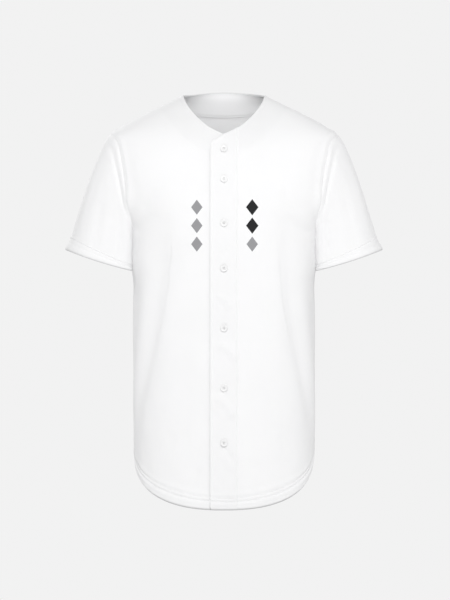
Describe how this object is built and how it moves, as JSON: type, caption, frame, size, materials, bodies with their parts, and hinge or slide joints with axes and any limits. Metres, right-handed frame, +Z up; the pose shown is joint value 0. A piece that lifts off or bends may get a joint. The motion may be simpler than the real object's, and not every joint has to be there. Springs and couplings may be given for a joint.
{
  "type": "baseball jersey",
  "caption": "Short-sleeved baseball jersey with a V neck, a buttoned front placket and a curved shirt-tail hem, filled out as worn.",
  "frame": {"origin": "midway between the two points where the shoulder seams meet the neck edge, where the wearer's shoulders hold the jersey up", "axes": "+Z up, -Y out of the chest, +X towards the wearer's left arm"},
  "size_m": [0.5882, 0.2504, 0.779],
  "materials": {
    "right_front": "matt white polyester knit",
    "left_front": "matt white polyester knit",
    "front_placket": "matt white polyester knit",
    "back": "matt white polyester knit",
    "left_sleeve": "matt white polyester knit",
    "right_sleeve": "matt white polyester knit",
    "back_neck_facing": "matt white polyester knit",
    "button_1": "satin white four-hole button",
    "button_2": "satin white four-hole button",
    "button_3": "satin white four-hole button",
    "button_4": "satin white four-hole button",
    "button_5": "satin white four-hole button",
    "button_6": "satin white four-hole button",
    "button_7": "satin white four-hole button"
  },
  "bodies": {
    "root": {"right_front": "right_front", "left_front": "left_front", "front_placket": "front_placket", "back": "back", "left_sleeve": "left_sleeve", "right_sleeve": "right_sleeve", "back_neck_facing": "back_neck_facing", "button_1": "button_1", "button_2": "button_2", "button_3": "button_3", "button_4": "button_4", "button_5": "button_5", "button_6": "button_6", "button_7": "button_7"}
  },
  "joints": []
}
